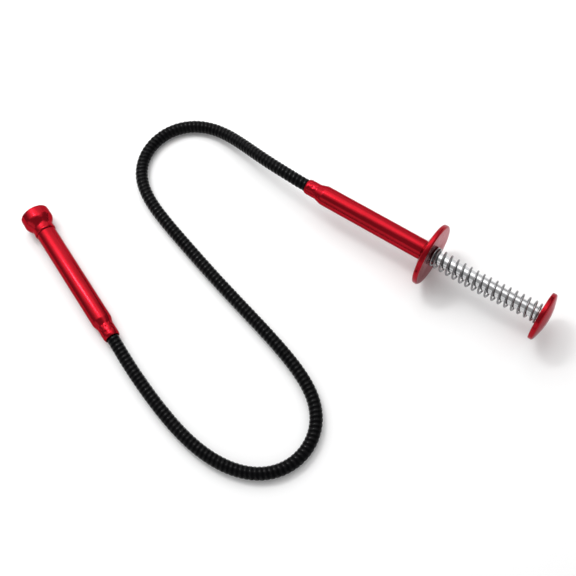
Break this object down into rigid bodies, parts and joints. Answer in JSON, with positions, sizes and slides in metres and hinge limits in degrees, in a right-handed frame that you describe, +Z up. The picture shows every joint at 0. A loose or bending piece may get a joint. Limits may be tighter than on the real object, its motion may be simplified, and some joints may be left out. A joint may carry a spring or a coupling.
{
  "type": "drain auger",
  "caption": "Flexible drain auger: a sprung thumb plunger pushes a cable through a bendable ribbed hose and works wire claws in the bell-mouthed head.",
  "frame": {"origin": "on the resting surface, under the middle of the box round the handle, plunger and claw head (the hose is left out)", "axes": "+X along the handle from the hose towards the thumb button, +Z up, +Y to the handle's left; the hose lies in loose S-curves and the head's mouth points towards -X and a little +Y"},
  "size_m": [0.2482, 0.1536, 0.0313],
  "materials": {
    "red_anodised": "glossy red anodised",
    "red_anodised_flange": "red anodised, turned, glossy front and satin rear face",
    "red_anodised_button": "red anodised, turned satin dome",
    "polished_rod": "polished",
    "spring_steel": "bright drawn wire",
    "claw_steel": "bright drawn wire",
    "plain_steel": "plain zinc",
    "conduit_steel": "close-wound wire",
    "cable_steel": "stranded wire",
    "brass": "turned brass",
    "black_nylon": "moulded black nylon",
    "black_hose": "satin black, ribbed"
  },
  "bodies": {
    "handle": {"finger_flange": "red_anodised_flange", "handle_tube": "red_anodised", "rod_guide_bush": "black_nylon", "return_spring": "spring_steel", "handle_conduit_stop": "brass", "hose_jacket": "black_hose", "hose_conduit": "conduit_steel", "push_cable": "cable_steel", "head_conduit_stop": "brass", "head_tube": "red_anodised", "bell_mouth": "red_anodised"},
    "plunger": {"thumb_button": "red_anodised_button", "plunger_rod": "polished_rod", "rod_stop_collar": "plain_steel", "cable_clamp": "brass"},
    "carrier": {"claw_carrier": "brass"},
    "claw_1_wire": {"claw_1": "claw_steel"},
    "claw_2_wire": {"claw_2": "claw_steel"},
    "claw_3_wire": {"claw_3": "claw_steel"},
    "claw_4_wire": {"claw_4": "claw_steel"}
  },
  "joints": [
    {"name": "plunger_slide", "type": "slide", "parent": "handle", "child": "plunger", "axis": [-1, 0, 0], "range_m": [0, 0.03], "stiffness_N_per_m": 250, "springref_m": -0.02, "deforming": ["return_spring", "push_cable"]},
    {"name": "carrier_slide", "type": "slide", "parent": "handle", "child": "carrier", "axis": [-0.9256, 0.3768, 0.0365], "range_m": [0, 0.0302]},
    {"name": "claw_1_open", "type": "hinge", "parent": "carrier", "child": "claw_1_wire", "pos_m": [-0.07163, -0.05165, 0.00671], "axis": [0.2427, 0.6646, -0.7066], "range_deg": [0, 8.6]},
    {"name": "claw_2_open", "type": "hinge", "parent": "carrier", "child": "claw_2_wire", "pos_m": [-0.0717, -0.05162, 0.00466], "axis": [-0.2905, -0.6452, -0.7066], "range_deg": [0, 8.6]},
    {"name": "claw_3_open", "type": "hinge", "parent": "carrier", "child": "claw_3_wire", "pos_m": [-0.07247, -0.05352, 0.00466], "axis": [-0.2427, -0.6646, 0.7066], "range_deg": [0, 8.6]},
    {"name": "claw_4_open", "type": "hinge", "parent": "carrier", "child": "claw_4_wire", "pos_m": [-0.07241, -0.05355, 0.00671], "axis": [0.2905, 0.6452, 0.7066], "range_deg": [0, 8.6]}
  ],
  "couplings": [
    {"joint": "carrier_slide", "follows": "plunger_slide", "ratio": 1},
    {"joint": "claw_1_open", "follows": "plunger_slide", "rad_per_m": 4.9},
    {"joint": "claw_2_open", "follows": "plunger_slide", "rad_per_m": 4.9},
    {"joint": "claw_3_open", "follows": "plunger_slide", "rad_per_m": 4.9},
    {"joint": "claw_4_open", "follows": "plunger_slide", "rad_per_m": 4.9}
  ]
}
